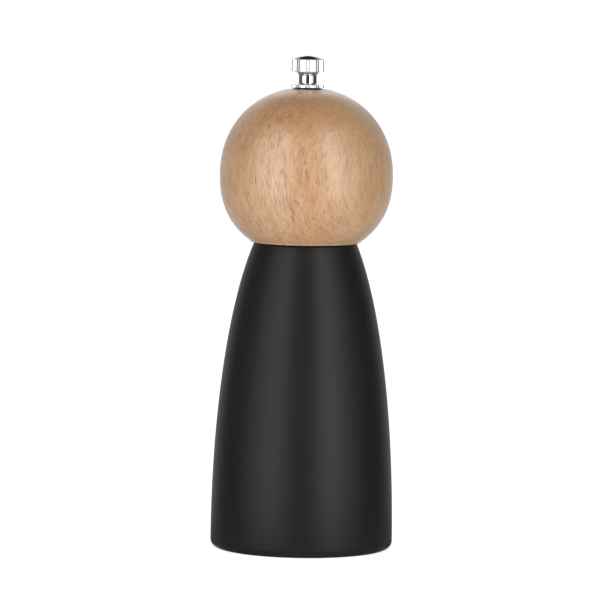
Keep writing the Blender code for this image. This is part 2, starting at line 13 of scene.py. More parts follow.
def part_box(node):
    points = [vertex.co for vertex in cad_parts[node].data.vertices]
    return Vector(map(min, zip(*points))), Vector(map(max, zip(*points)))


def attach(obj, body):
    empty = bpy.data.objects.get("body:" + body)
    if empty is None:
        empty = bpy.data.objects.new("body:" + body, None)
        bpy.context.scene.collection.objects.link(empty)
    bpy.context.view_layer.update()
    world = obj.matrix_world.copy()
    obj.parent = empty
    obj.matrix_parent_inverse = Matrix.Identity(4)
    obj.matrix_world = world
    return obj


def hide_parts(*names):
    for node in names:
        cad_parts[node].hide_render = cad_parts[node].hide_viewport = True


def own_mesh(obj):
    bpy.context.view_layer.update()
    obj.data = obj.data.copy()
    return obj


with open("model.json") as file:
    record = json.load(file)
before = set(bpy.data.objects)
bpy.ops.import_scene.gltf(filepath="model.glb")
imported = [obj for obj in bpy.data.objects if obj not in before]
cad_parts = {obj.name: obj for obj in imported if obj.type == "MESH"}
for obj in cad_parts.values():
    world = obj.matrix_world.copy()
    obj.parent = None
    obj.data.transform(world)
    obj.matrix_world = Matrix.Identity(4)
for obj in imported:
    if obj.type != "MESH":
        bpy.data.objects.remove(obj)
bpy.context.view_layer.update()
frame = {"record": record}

MM = 0.001
# The clearance between pieces that meet.
GAP = 0.3 * MM
# Edges sharper than this are drawn sharp.
SMOOTH_BREAK = math.radians(38)
# How many sides a round piece has.
LARGE_SIDES = 160
SMALL_SIDES = 72
# Corners flatter than this stay as they are, and a rounding takes up to this share of a side.
NEARLY_STRAIGHT = math.radians(172)
ROUNDED_SHARE = 0.45


# Geometry: profiles, sweeps and small cutters.


def span(node):
    """(lowest z, highest z, largest radius) of a part's node."""
    low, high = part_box(node)
    return low.z, high.z, max(high.x, -low.x, high.y, -low.y)


def arc(centre_r, centre_z, radius, start_deg, end_deg, steps):
    """(r, z) points on a circle's arc, where 0 degrees is outwards and 90 is up."""
    points = []
    for step in range(steps + 1):
        angle = math.radians(start_deg + (end_deg - start_deg) * step / steps)
        points.append((centre_r + radius * math.cos(angle), centre_z + radius * math.sin(angle)))
    return points


def rounded(points, radius, closed=True, steps=4):
    """The corners of an (r, z) line, each rounded by radius or by its own third value."""
    line = []
    count = len(points)
    for index, point in enumerate(points):
        here = Vector(point[:2])
        fillet = point[2] if len(point) > 2 else radius
        if fillet <= 0 or (not closed and index in (0, count - 1)):
            line.append(tuple(here))
            continue
        before = Vector(points[index - 1][:2]) - here
        after = Vector(points[(index + 1) % count][:2]) - here
        angle = before.angle(after)
        if angle > NEARLY_STRAIGHT:
            line.append(tuple(here))
            continue
        reach = fillet / math.tan(angle / 2)
        reach = min(reach, ROUNDED_SHARE * before.length, ROUNDED_SHARE * after.length)
        start = here + before.normalized() * reach
        end = here + after.normalized() * reach
        for step in range(steps + 1):
            part = step / steps
            bend = (1 - part) ** 2 * start + 2 * part * (1 - part) * here + part**2 * end
            line.append(tuple(bend))
    return line


def mesh_object(mesh, name, finish):
    """Turns a bmesh into a smooth-shaded object with one material."""
    bmesh.ops.recalc_face_normals(mesh, faces=mesh.faces)
    data = bpy.data.meshes.new(name)
    mesh.to_mesh(data)
    mesh.free()
    data.shade_smooth()
    data.set_sharp_from_angle(angle=SMOOTH_BREAK)
    data.materials.append(finish)
    made = bpy.data.objects.new(name, data)
    bpy.context.scene.collection.objects.link(made)
    return made


def join_rings(mesh, lower, upper):
    """Faces between two closed rings, either of which may be a single point."""
    count = max(len(lower), len(upper))
    for index in range(count):
        after = (index + 1) % count
        corners = [
            lower[index % len(lower)],
            lower[after % len(lower)],
            upper[after % len(upper)],
            upper[index % len(upper)],
        ]
        mesh.faces.new(list(dict.fromkeys(corners)))


def sweep(name, line, finish, sides=SMALL_SIDES, shape=None, centre=(0.0, 0.0), even=True):
    """A closed solid round Z from an (r, z) line, with its poles where r is 0.

    shape(r, z, angle, index) may give another radius, and then the line's point is its base.
    """
    mesh = bmesh.new()
    rings = []
    for index, (radius, z) in enumerate(line):
        if radius < 1e-7:
            rings.append([mesh.verts.new((*centre, z))])
            continue
        ring = []
        for side in range(sides):
            angle = math.tau * side / sides
            reach = shape(radius, z, angle, index) if shape else radius
            x = centre[0] + reach * math.cos(angle)
            y = centre[1] + reach * math.sin(angle)
            ring.append(mesh.verts.new((x, y, z)))
        rings.append(ring)
    for lower, upper in zip(rings, rings[1:]):
        join_rings(mesh, lower, upper)
    if len(rings[0]) > 1:
        join_rings(mesh, rings[-1], rings[0])
    made = mesh_object(mesh, name, finish)
    if even:
        keep_flats_flat(made)
    return made


def keep_flats_flat(piece):
    """Weighs the normals by area, so that flats next to small roundings stay flat."""
    even = piece.modifiers.new("Even normals", "WEIGHTED_NORMAL")
    even.keep_sharp = True
    even.weight = 80


def polygon(sides, turn_deg=0.0):
    """A shape for sweep: a regular polygon whose half width is the line's radius."""
    sector = math.tau / sides

    def shape(radius, z, angle, index):
        off = (angle - math.radians(turn_deg) + sector / 2) % sector - sector / 2
        return radius / math.cos(off)

    return shape


def combine(piece, tool, operation):
    """Takes the tool's shape out of the piece (DIFFERENCE) or adds it (UNION), then removes it."""
    step = piece.modifiers.new("Combine", "BOOLEAN")
    step.operation = operation
    step.object = tool
    graph = bpy.context.evaluated_depsgraph_get()
    graph.update()
    data = bpy.data.meshes.new_from_object(piece.evaluated_get(graph))
    old = piece.data
    piece.modifiers.clear()
    piece.data = data
    bpy.data.meshes.remove(old)
    bpy.data.objects.remove(tool)
    data.shade_smooth()
    data.set_sharp_from_angle(angle=SMOOTH_BREAK)


def turn_mesh(mesh, angle):
    """Turns a whole bmesh about the mill's axis."""
    turn = Matrix.Rotation(angle, 3, "Z")
    bmesh.ops.rotate(mesh, verts=mesh.verts, cent=(0, 0, 0), matrix=turn)


def bevelled_box(name, size, centre, finish, angle, bevel):
    """A box with bevelled edges, turned about the mill's axis after it is placed."""
    mesh = bmesh.new()
    bmesh.ops.create_cube(mesh, size=1.0)
    bmesh.ops.scale(mesh, verts=mesh.verts, vec=size)
    edges = list(mesh.edges)
    bmesh.ops.bevel(mesh, geom=edges, offset=bevel, segments=2, profile=0.5, affect="EDGES")
    bmesh.ops.translate(mesh, verts=mesh.verts, vec=centre)
    turn_mesh(mesh, angle)
    return mesh_object(mesh, name, finish)


# Shader nodes.


class Nodes:
    """A node tree, and short ways to add nodes to it. A value may be a number or a socket."""

    def __init__(self, tree):
        self.tree = tree

    def put(self, value, socket):
        if isinstance(value, bpy.types.NodeSocket):
            self.tree.links.new(value, socket)
        else:
            socket.default_value = value

    def node(self, kind, values=None, **settings):
        made = self.tree.nodes.new("ShaderNode" + kind)
        for key, value in settings.items():
            setattr(made, key, value)
        for key, value in (values or {}).items():
            self.put(value, made.inputs[key])
        return made

    def math(self, operation, *values):
        return self.node("Math", dict(enumerate(values)), operation=operation).outputs[0]

    def vector(self, operation, a, b):
        return self.node("VectorMath", {0: a, 1: b}, operation=operation).outputs[0]

    def split(self, vector):
        """A vector's x, y and z."""
        return self.node("SeparateXYZ", {0: vector}).outputs

    def flat_length(self, vector):
        """A vector's length as seen from above."""
        level = self.vector("MULTIPLY", vector, (1.0, 1.0, 0.0))
        return self.node("VectorMath", {0: level}, operation="LENGTH").outputs["Value"]


class Shader(Nodes):
    """A material with a Principled BSDF. The constants are set on its own sockets."""

    def __init__(self, name, roughness, metallic=0.0, **constants):
        self.material = bpy.data.materials.new(name)
        self.material.use_nodes = True
        super().__init__(self.material.node_tree)
        self.bsdf = self.tree.nodes["Principled BSDF"]
        self.bsdf.inputs["Roughness"].default_value = roughness
        self.bsdf.inputs["Metallic"].default_value = metallic
        for key, value in constants.items():
            socket = key.replace("_", " ").title().replace("Ior", "IOR")
            self.bsdf.inputs[socket].default_value = value
        self.place = self.node("TexCoord").outputs["Object"]

    def stretch(self, factors, place=None):
        """Coordinates in which a noise of scale 1 changes this fast along each axis, per metre."""
        return self.vector("MULTIPLY", place or self.place, factors)

    def noise(self, place, scale=1.0, detail=3.0, roughness=0.55):
        values = {"Vector": place, "Scale": scale, "Detail": detail, "Roughness": roughness}
        return self.node("TexNoise", values).outputs["Fac"]

    def between(self, value, low, high):
        """0 at low and 1 at high, smoothly; low may be above high."""
        values = {"Value": value, "From Min": low, "From Max": high}
        return self.node("MapRange", values, interpolation_type="SMOOTHSTEP").outputs["Result"]

    def mix(self, factor, first, second):
        """The first colour at factor 0 and the second at 1."""
        return self.node("Mix", {0: factor, 6: first, 7: second}, data_type="RGBA").outputs[2]

    def tint(self, colour, share, strength, other):
        """The colour, mixed with the other where the share is high, up to the strength."""
        return self.mix(self.math("MULTIPLY", share, strength), colour, other)

    def use(self, socket, value):
        self.tree.links.new(value, self.bsdf.inputs[socket])

    def show(self, first, second, factor):
        """Makes the surface a mix of two shaders."""
        surface = self.node("MixShader", {0: factor, 1: first, 2: second}).outputs[0]
        self.tree.links.new(surface, self.tree.nodes["Material Output"].inputs["Surface"])

    def bump(self, height, distance, strength=1.0):
        made = self.node("Bump", {"Height": height, "Distance": distance, "Strength": strength})
        self.use("Normal", made.outputs["Normal"])

    def scale_range(self, value, low, high):
        """A value of 0 to 1 spread over low to high."""
        values = {"Value": value, "To Min": low, "To Max": high}
        return self.node("MapRange", values).outputs["Result"]


def grey(level):
    return (level, level, level, 1.0)


# The beech's growth rings are centred behind the head and to the right, outside the turned piece.
PITH = Vector((58.0 * MM, 39.0 * MM, 0.0))
RING_SPACING = 1.9 * MM
RING_WOBBLE = 2.4
BEECH_PALE = (0.79, 0.49, 0.274, 1.0)
BEECH_WARM = (0.715, 0.39, 0.186, 1.0)
BEECH_OLIVE = (0.685, 0.455, 0.25, 1.0)
BEECH_RED = (0.49, 0.225, 0.102, 1.0)
BEECH_FLECK = (0.29, 0.105, 0.038, 1.0)
# The colour of the painted shade round the knob.
BEECH_SHADE = (0.2, 0.105, 0.055, 1.0)
# Two sways bend the grain: how fast each changes, and how far it reaches.
SWAYS = (((30, 30, 14), 6.0 * MM), ((90, 90, 75), 1.5 * MM))
# How fast the patterns change across the rays, along them, and up the head.
BROAD = (75, 45, 18)
STREAKS = (700, 240, 45)
FIBRES = (2600, 900, 150)
FLECK_CROWDS = (130, 60, 45)
# Long and short flecks: how fast they change, the noise level they start at, and their strength.
FLECKS = (((2900, 240, 260), 0.768, 0.54), ((4200, 330, 430), 0.75, 0.39))
# The flecks grow faint to the right (x), to the back (y) and to the top (z): start and end.
FLECK_FADES = ((4.0 * MM, 16.0 * MM), (6.0 * MM, 20.0 * MM), (137 * MM, 155 * MM))
FAINT = 0.3
# Olive heartwood sets in from left to right.
HEARTWOOD = (-4.0 * MM, 20.0 * MM)
# Painted shade: the wood is darkened in a ring round the knob, near the top of the head, where the
# knob shades it.
KNOB_SHADE_R = (10.5 * MM, 6.0 * MM)
KNOB_SHADE_Z = (140 * MM, 148 * MM)


def beech_material():
    """Growth rings, ray flecks along the rays' planes, fine fibres, broad patches and a painted
    shade round the knob.
    """
    wood = Shader(
        "beech",
        0.42,
        coat_weight=1.0,
        coat_roughness=0.3,
        coat_ior=1.64,
        sheen_weight=0.2,
        sheen_roughness=0.45,
    )
    grain = wood.place
    for speed, reach in SWAYS:
        values = {"Vector": wood.stretch(speed), "Scale": 1.0, "Detail": 2.0}
        sway = wood.node("TexNoise", values).outputs["Color"]
        sway = wood.vector("SUBTRACT", sway, (0.5, 0.5, 0.5))
        grain = wood.vector("ADD", grain, wood.vector("MULTIPLY", sway, (reach, reach, 0.0)))
    grain = wood.vector("SUBTRACT", grain, PITH)
    x, y, z = wood.split(grain)
    radius = wood.flat_length(grain)
    angle = wood.math("ARCTAN2", x, wood.math("MULTIPLY", y, -1.0))
    across = wood.math("MULTIPLY", angle, PITH.length)
    rays = wood.node("CombineXYZ", {"X": across, "Y": radius, "Z": z}).outputs[0]

    broad = wood.noise(wood.stretch(BROAD, rays))
    streak = wood.noise(wood.stretch(STREAKS, rays), detail=4.0, roughness=0.65)
    fibre = wood.noise(wood.stretch(FIBRES, rays), roughness=0.6)
    wobble = wood.noise(wood.stretch((110, 110, 20)), detail=2.0)
    ring = wood.math("DIVIDE", radius, RING_SPACING)
    ring = wood.math("ADD", ring, wood.math("MULTIPLY", wobble, RING_WOBBLE))
    ring = wood.math("FRACT", ring)
    late = wood.math("MULTIPLY", wood.between(ring, 0.45, 0.9), wood.between(ring, 1.0, 0.93))

    colour = wood.mix(wood.between(broad, 0.36, 0.66), BEECH_PALE, BEECH_WARM)
    side, behind, height = wood.split(wood.place)
    colour = wood.tint(colour, wood.between(side, *HEARTWOOD), 0.6, BEECH_OLIVE)
    colour = wood.tint(colour, late, 0.14, BEECH_RED)
    colour = wood.tint(colour, wood.between(streak, 0.44, 0.72), 0.45, BEECH_RED)
    colour = wood.tint(colour, wood.between(fibre, 0.46, 0.7), 0.28, BEECH_FLECK)

    crowd = wood.math("MULTIPLY", wood.noise(wood.stretch(FLECK_CROWDS, rays), detail=2.0), 0.24)
    fleck = 0.0
    for speed, level, strength in FLECKS:
        dash = wood.noise(wood.stretch(speed, rays), detail=1.0, roughness=0.4)
        dash = wood.between(wood.math("ADD", dash, crowd), level - 0.03, level + 0.05)
        fleck = wood.math("MAXIMUM", fleck, wood.math("MULTIPLY", dash, strength))
    for away, (full, faint) in zip((side, behind, height), FLECK_FADES):
        fade = wood.scale_range(wood.between(away, faint, full), FAINT, 1.0)
        fleck = wood.math("MULTIPLY", fleck, fade)
    colour = wood.mix(fleck, colour, BEECH_FLECK)

    # Painted shade: the base colour darkens in a ring round the knob, standing in for the knob's
    # shadow on the wood.
    near = wood.between(wood.flat_length(wood.place), *KNOB_SHADE_R)
    knob_shade = wood.math("MULTIPLY", near, wood.between(height, *KNOB_SHADE_Z))
    wood.use("Base Color", wood.tint(colour, knob_shade, 0.85, BEECH_SHADE))
    wood.use("Roughness", wood.scale_range(streak, 0.36, 0.5))
    relief = wood.math("SUBTRACT", wood.math("MULTIPLY", fibre, 0.5), fleck)
    wood.bump(relief, 0.05 * MM, 0.5)
    return wood.material


def lacquer_material():
    """Black satin lacquer: a faint mottle, a fine orange peel and pores drawn along the grain."""
    paint = Shader("black_lacquer", 0.36, specular_ior_level=0.33)
    mottle = paint.noise(paint.stretch((90, 90, 30)), detail=4.0)
    paint.use("Base Color", paint.mix(mottle, grey(0.009), grey(0.0145)))
    paint.use("Roughness", paint.scale_range(mottle, 0.36, 0.45))
    peel = paint.noise(paint.place, 900.0, 2.0)
    pores = paint.noise(paint.stretch((1700, 1700, 110)), detail=2.0)
    pores = paint.between(pores, 0.62, 0.74)
    relief = paint.math("SUBTRACT", paint.math("MULTIPLY", peel, 0.5), pores)
    paint.bump(relief, 0.02 * MM, 0.35)
    return paint.material


def chrome_material():
    """Polished chrome with faint turning marks and a little handling haze."""
    metal = Shader("chrome", 0.07, 1.0)
    haze = metal.noise(metal.place, 420.0, 4.0)
    metal.use("Base Color", metal.mix(haze, grey(0.88), grey(0.97)))
    metal.use("Roughness", metal.scale_range(haze, 0.05, 0.12))
    turning = metal.noise(metal.stretch((60, 60, 9000)), detail=2.0)
    metal.bump(turning, 0.004 * MM, 0.3)
    return metal.material


def steel_material():
    """Zinc-bright steel, drawn along its length, with darker blotches."""
    metal = Shader("steel", 0.3, 1.0)
    blotch = metal.noise(metal.place, 260.0, 4.0)
    drawn = metal.noise(metal.stretch((5200, 5200, 120)))
    tone = metal.mix(blotch, (0.47, 0.48, 0.50, 1.0), (0.68, 0.68, 0.67, 1.0))
    metal.use("Base Color", metal.tint(tone, drawn, 0.35, grey(0.33)))
    metal.use("Roughness", metal.scale_range(drawn, 0.2, 0.42))
    metal.bump(drawn, 0.012 * MM, 0.5)
    return metal.material


def ceramic_material():
    """Fired, unglazed ceramic: warm white with fine grit and faint stains."""
    fired = Shader("ceramic", 0.5)
    stain = fired.between(fired.noise(fired.place, 170.0, 4.0), 0.4, 0.75)
    colour = fired.mix(stain, (0.80, 0.77, 0.70, 1.0), (0.66, 0.61, 0.52, 1.0))
    grit = fired.noise(fired.place, 4200.0, 2.0)
    specks = fired.between(grit, 0.6, 0.75)
    fired.use("Base Color", fired.tint(colour, specks, 0.3, (0.42, 0.37, 0.30, 1.0)))
    fired.use("Roughness", fired.scale_range(grit, 0.4, 0.62))
    fired.bump(grit, 0.02 * MM, 0.5)
    return fired.material


def plastic_material(name, dark, light, roughness):
    """Moulded plastic with a fine spark-eroded texture and dulled patches."""
    moulded = Shader(name, roughness)
    patch = moulded.noise(moulded.place, 140.0)
    moulded.use("Base Color", moulded.mix(patch, dark, light))
    grain = moulded.noise(moulded.place, 3000.0, 2.0)
    moulded.use("Roughness", moulded.scale_range(patch, roughness - 0.07, roughness + 0.1))
    moulded.bump(grain, 0.015 * MM, 0.6)
    return moulded.material


BEECH = beech_material()
LACQUER = lacquer_material()
CHROME = chrome_material()
STEEL = steel_material()
CERAMIC = ceramic_material()
BLACK_PLASTIC = plastic_material("black_plastic", grey(0.012), grey(0.024), 0.5)
NYLON = plastic_material("nylon", (0.68, 0.65, 0.56, 1.0), (0.78, 0.76, 0.69, 1.0), 0.42)

SLOTS = {
    "beech": BEECH,
    "black_lacquer": LACQUER,
    "chrome": CHROME,
    "steel": STEEL,
    "ceramic": CERAMIC,
    "black_plastic": BLACK_PLASTIC,
    "nylon": NYLON,
}
BODY_OF = {}
for body_name, members in frame["record"]["behaviour"]["bodies"].items():
    for member in members:
        BODY_OF[member] = body_name
SLOT_OF = {row["node"]: row["material_slot"] for row in frame["record"]["subparts"]}


def stand_for(piece, node):
    """The piece rides with its CAD node's body and hides the node."""
    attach(piece, BODY_OF[node])
    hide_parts(node)


def finish_of(node):
    return SLOTS[SLOT_OF[node]]


# The turned body and head.

# The body's side is part of an ellipse, and the head's is two half ovals, as in the part.
BODY_WIDEST_Z = 4.0 * MM
BODY_CURVE_DEPTH = 25.3 * MM
BODY_CURVE_HEIGHT = 110.9 * MM
LACQUER_THICKNESS = 0.15 * MM
FOOT_ROUND = 2.5 * MM
SEAM_ROUND = 0.4 * MM
NECK_BORE_R = 12.3 * MM
NECK_BORE_LENGTH = 13.2 * MM
NECK_SLOPE = 2.0 * MM
CHAMBER_R = 14.0 * MM
POCKET_R = 18.0 * MM
RECESS_R = 24.0 * MM
RECESS_DEPTH = 3.0 * MM
BORE_FILLET = 0.3 * MM
SHOULDER_FILLET = 0.25 * MM
HEAD_WIDEST_Z = 123.7 * MM
HEAD_UPPER_HEIGHT = 29.1 * MM
HEAD_UPPER_POWER = 2.11
HEAD_LOWER_HEIGHT = 26.6 * MM
HEAD_LOWER_POWER = 2.27
SPIGOT_R = 12.0 * MM
HEAD_BORE_R = 4.2 * MM
# How far below the washer the head ends, and the body's top below the head's shoulder.
WASHER_CLEARANCE = 0.05 * MM
SEAM_GAP = 0.4 * MM
CHAMFER = 0.4 * MM


def body_radius(z):
    """The body's outer radius at a height, with its lacquer."""
    rise = (z - BODY_WIDEST_Z) / BODY_CURVE_HEIGHT
    bare = span("body")[2] - BODY_CURVE_DEPTH * (1 - math.sqrt(1 - rise**2))
    return bare + LACQUER_THICKNESS


def make_body():
    _, top_z, _ = span("body")
    pocket_top_z = span("bridge")[1] + GAP
    edge_z = top_z - SEAM_ROUND
    neck_z = top_z - NECK_BORE_LENGTH
    first = math.asin((edge_z - BODY_WIDEST_Z) / BODY_CURVE_HEIGHT)
    last = math.asin((FOOT_ROUND - BODY_WIDEST_Z) / BODY_CURVE_HEIGHT)
    line = arc(body_radius(edge_z) - SEAM_ROUND, edge_z, SEAM_ROUND, 90, 0, 6)
    steps = 48
    for step in range(1, steps + 1):
        angle = first + (last - first) * step / steps
        z = BODY_WIDEST_Z + BODY_CURVE_HEIGHT * math.sin(angle)
        line.append((body_radius(z), z))
    line += arc(body_radius(FOOT_ROUND) - FOOT_ROUND, FOOT_ROUND, FOOT_ROUND, 0, -90, 12)[1:]
    inside = [
        (RECESS_R, 0.0),
        (RECESS_R, RECESS_DEPTH),
        (POCKET_R, RECESS_DEPTH),
        (POCKET_R, pocket_top_z),
        (CHAMBER_R, pocket_top_z),
        (CHAMBER_R, neck_z - NECK_SLOPE, 0.0),
        (NECK_BORE_R, neck_z, 0.0),
        (NECK_BORE_R, top_z),
    ]
    line += rounded([line[-1], *inside, line[0]], BORE_FILLET, closed=False)[1:-1]
    body = sweep("turned_body", line, LACQUER, LARGE_SIDES)
    stand_for(body, "body")


def half_oval(widest, height, power, end_z, steps):
    """The head's side from its widest level up or down to end_z."""
    last = math.asin(((end_z - HEAD_WIDEST_Z) / height) ** (power / 2))
    line = []
    for step in range(steps + 1):
        angle = last * step / steps
        radius = widest * math.cos(angle) ** (2 / power)
        line.append((radius, HEAD_WIDEST_Z + height * math.sin(angle) ** (2 / power)))
    return line


def make_head():
    bottom_z, _, widest = span("head")
    top_z = span("knob_washer")[0] - WASHER_CLEARANCE
    shoulder_z = span("body")[1] + SEAM_GAP
    ferrule_z, _, ferrule_r = span("head_ferrule")
    edge_z = shoulder_z + SEAM_ROUND
    upper = half_oval(widest, HEAD_UPPER_HEIGHT, HEAD_UPPER_POWER, top_z, 36)
    lower = half_oval(widest, -HEAD_LOWER_HEIGHT, HEAD_LOWER_POWER, edge_z, 32)
    line = upper[::-1] + lower[1:]
    line += arc(lower[-1][0] - SEAM_ROUND, edge_z, SEAM_ROUND, 0, -90, 6)[1:]
    inside = [
        (SPIGOT_R, shoulder_z),
        (SPIGOT_R, bottom_z + CHAMFER, CHAMFER / 4),
        (SPIGOT_R - CHAMFER, bottom_z, CHAMFER / 4),
        (HEAD_BORE_R, bottom_z),
        (HEAD_BORE_R, ferrule_z - GAP, 0.0),
        (ferrule_r + GAP, ferrule_z - GAP, 0.0),
        (ferrule_r + GAP, top_z),
    ]
    line += rounded([line[-1], *inside, line[0]], SHOULDER_FILLET, closed=False)[1:-1]
    head = sweep("turned_head", line, BEECH, LARGE_SIDES)
    stand_for(head, "head")


# The knob.

KNOB_WAIST_R = 3.03 * MM
KNOB_FOOT_HEIGHT = 1.2 * MM
KNOB_HEAD_Z = 157.75 * MM
KNOB_HEAD_TOP_Z = 162.1 * MM
KNOB_FILLET = 0.9 * MM
KNOB_CONE_R = 3.75 * MM
KNOB_CONE_HEIGHT = 1.15 * MM
KNOB_CONE_ROUND = 0.8 * MM
KNOB_HEAD_INSET = 0.05 * MM
KNOB_EDGE = 0.2 * MM
KNOB_BORE_R = 2.25 * MM
KNOB_BORE_TOP_Z = 160.9 * MM
KNOB_FLUTES = 36
KNOB_FLUTE_DEPTH = 0.36 * MM
SIDES_PER_FLUTE = 12
KNOB_ROOT_R = 4.95 * MM
# The knob is screwed down this far into its soft washer.
WASHER_SQUEEZE = 0.25 * MM


def fluted_band(crest_r, low_z, high_z):
    """The levels of a fluted flange, chamfered down to the flutes' roots at both ends."""
    return [
        (KNOB_ROOT_R, low_z),
        (crest_r, low_z + KNOB_EDGE),
        (crest_r, high_z - KNOB_EDGE),
        (KNOB_ROOT_R, high_z),
    ]


def knob_shape(radius, z, angle, index):
    """Flutes half way between a V and a wave, on all that stands out past their roots."""
    if radius <= KNOB_ROOT_R:
        return radius
    turn = (KNOB_FLUTES * angle / math.tau + 0.5) % 1.0
    straight = 1 - abs(2 * turn - 1)
    wave = (1 - math.cos(math.tau * turn)) / 2
    return radius - KNOB_FLUTE_DEPTH * (straight + wave) / 2


def make_knob():
    low_z, top_z, foot_r = span("knob")
    low_z -= WASHER_SQUEEZE
    top_z -= WASHER_SQUEEZE / 2
    foot_top_z = low_z + KNOB_FOOT_HEIGHT
    line = [(0.0, KNOB_BORE_TOP_Z), (KNOB_BORE_R, KNOB_BORE_TOP_Z), (KNOB_BORE_R, low_z)]
    line += fluted_band(foot_r, low_z, foot_top_z)
    line += arc(KNOB_WAIST_R + KNOB_FILLET, foot_top_z + KNOB_FILLET, KNOB_FILLET, -90, -180, 8)
    cone = [line[-1], (KNOB_WAIST_R, KNOB_HEAD_Z - KNOB_CONE_HEIGHT), (KNOB_CONE_R, KNOB_HEAD_Z)]
    line += rounded(cone, KNOB_CONE_ROUND, closed=False)[1:]
    line += fluted_band(foot_r - KNOB_HEAD_INSET, KNOB_HEAD_Z, KNOB_HEAD_TOP_Z)
    rise = top_z - KNOB_HEAD_TOP_Z
    sphere_r = (KNOB_ROOT_R**2 + rise**2) / (2 * rise)
    slope_deg = math.degrees(math.asin(KNOB_ROOT_R / sphere_r))
    line += arc(0.0, top_z - sphere_r, sphere_r, 90 - slope_deg, 90, 14)[1:]
    line[-1] = (0.0, top_z)
    sides = KNOB_FLUTES * SIDES_PER_FLUTE
    knob = sweep("fluted_knob", line, CHROME, sides, knob_shape, even=False)
    stand_for(knob, "knob")


# The mechanism.


def make_ring(node, name, inner, fillet, squeeze=0.0):
    """A washer or tube between its node's own levels, with its top pressed down by squeeze."""
    low_z, high_z, outer = span(node)
    high_z -= squeeze
    line = rounded([(inner, low_z), (outer, low_z), (outer, high_z), (inner, high_z)], fillet)
    stand_for(sweep(name, line, finish_of(node)), node)


def square_hole(limit):
    """Points inside the limit radius follow a square, and the others stay round."""
    square = polygon(4)

    def shape(radius, z, angle, index):
        return square(radius, z, angle, index) if radius < limit else radius

    return shape


SQUARE_HALF = 2.5 * MM
SQUARE_HOLE_HALF = SQUARE_HALF + GAP
THREAD_R = 1.95 * MM
THREAD_DEPTH = 0.38 * MM
THREAD_PITCH = 0.7 * MM
# The share of the pitch that is flat, at the root and at the crest.
THREAD_FLAT = 0.12
SQUARE_TOP_Z = 150.0 * MM
SQUARE_Z = 5.5 * MM
GROOVE_R = 2.1 * MM


def thread_line(low_z, high_z, taper_low, taper_high):
    """Levels of a threaded stretch, a sixth of a turn apart, as (radius, z)."""
    steps = max(2, int((high_z - low_z) / (THREAD_PITCH / 6)))
    line = []
    for step in range(steps + 1):
        z = low_z + (high_z - low_z) * step / steps
        start = (z - low_z) / taper_low if taper_low else 1
        end = (high_z - z) / taper_high if taper_high else 1
        line.append((THREAD_R - THREAD_DEPTH * max(0.0, 1 - min(start, end)), z))
    return line


def make_shaft():
    low_z, top_z, _ = span("shaft")
    clip_low, clip_high, _ = span("shaft_clip")
    end = 0.45 * MM
    lower_thread = thread_line(low_z + 0.05 * MM, SQUARE_Z - 0.1 * MM, end, 0)
    upper_thread = thread_line(SQUARE_TOP_Z + 0.1 * MM, top_z - 0.05 * MM, 0, end)
    corner = 0.25 * MM
    square_levels = [
        (SQUARE_HALF - corner, SQUARE_Z),
        (SQUARE_HALF, SQUARE_Z + corner),
        (SQUARE_HALF, clip_low - GAP),
        (GROOVE_R, clip_low - GAP),
        (GROOVE_R, clip_high + GAP),
        (SQUARE_HALF, clip_high + GAP),
        (SQUARE_HALF, SQUARE_TOP_Z - corner),
        (SQUARE_HALF - corner, SQUARE_TOP_Z),
    ]
    line = [(0.0, low_z), (THREAD_R - THREAD_DEPTH - 0.1 * MM, low_z)] + lower_thread
    first_square = len(line)
    line += square_levels
    last_square = len(line) - 1
    line += upper_thread + [(THREAD_R - THREAD_DEPTH - 0.1 * MM, top_z), (0.0, top_z)]
    square = polygon(4)
    edge = math.hypot(SQUARE_HALF, SQUARE_HALF) - 0.18 * MM

    def shape(radius, z, angle, index):
        if first_square <= index <= last_square:
            if radius == GROOVE_R:
                return radius
            return min(square(radius, z, angle, index), edge)
        turn = (z / THREAD_PITCH - angle / math.tau) % 1.0
        ridge = abs(2 * turn - 1)
        crest = min(1.0, max(0.0, (ridge - THREAD_FLAT) / (1 - 2 * THREAD_FLAT)))
        return radius - THREAD_DEPTH * (1 - crest)

    shaft = sweep("threaded_shaft", line, STEEL, 48, shape)
    stand_for(shaft, "shaft")


def make_clip():
    """A retaining clip: an open ring with three inner lobes that reach the groove."""
    low_z, high_z, outer = span("shaft_clip")
    inner = GROOVE_R + GAP
    mouth = math.radians(40)
    steps = 64
    mesh = bmesh.new()
    rings = []
    edge = 0.1 * MM
    for step in range(steps + 1):
        angle = mouth + (math.tau - 2 * mouth) * step / steps
        lobe = 0.5 + 0.5 * math.cos(3 * (angle - math.pi))
        near = inner + 0.9 * MM * (1 - lobe) ** 0.8
        far = outer - 0.5 * MM * (1 - min(1.0, (step + 2) / 8, (steps - step + 2) / 8))
        section = [
            (near, low_z + edge),
            (near + edge, low_z),
            (far - edge, low_z),
            (far, low_z + edge),
            (far, high_z - edge),
            (far - edge, high_z),
            (near + edge, high_z),
            (near, high_z - edge),
        ]
        turned = [(r * math.cos(angle), r * math.sin(angle), z) for r, z in section]
        rings.append([mesh.verts.new(place) for place in turned])
    for lower, upper in zip(rings, rings[1:]):
        join_rings(mesh, lower, upper)
    mesh.faces.new(rings[0])
    mesh.faces.new(rings[-1])
    clip = mesh_object(mesh, "retaining_clip", STEEL)
    stand_for(clip, "shaft_clip")


WIRE_R = 0.4 * MM
SPRING_TURNS = 3.5
WIRE_SIDES = 14
GRIND_TRAVEL = 1.4 * MM


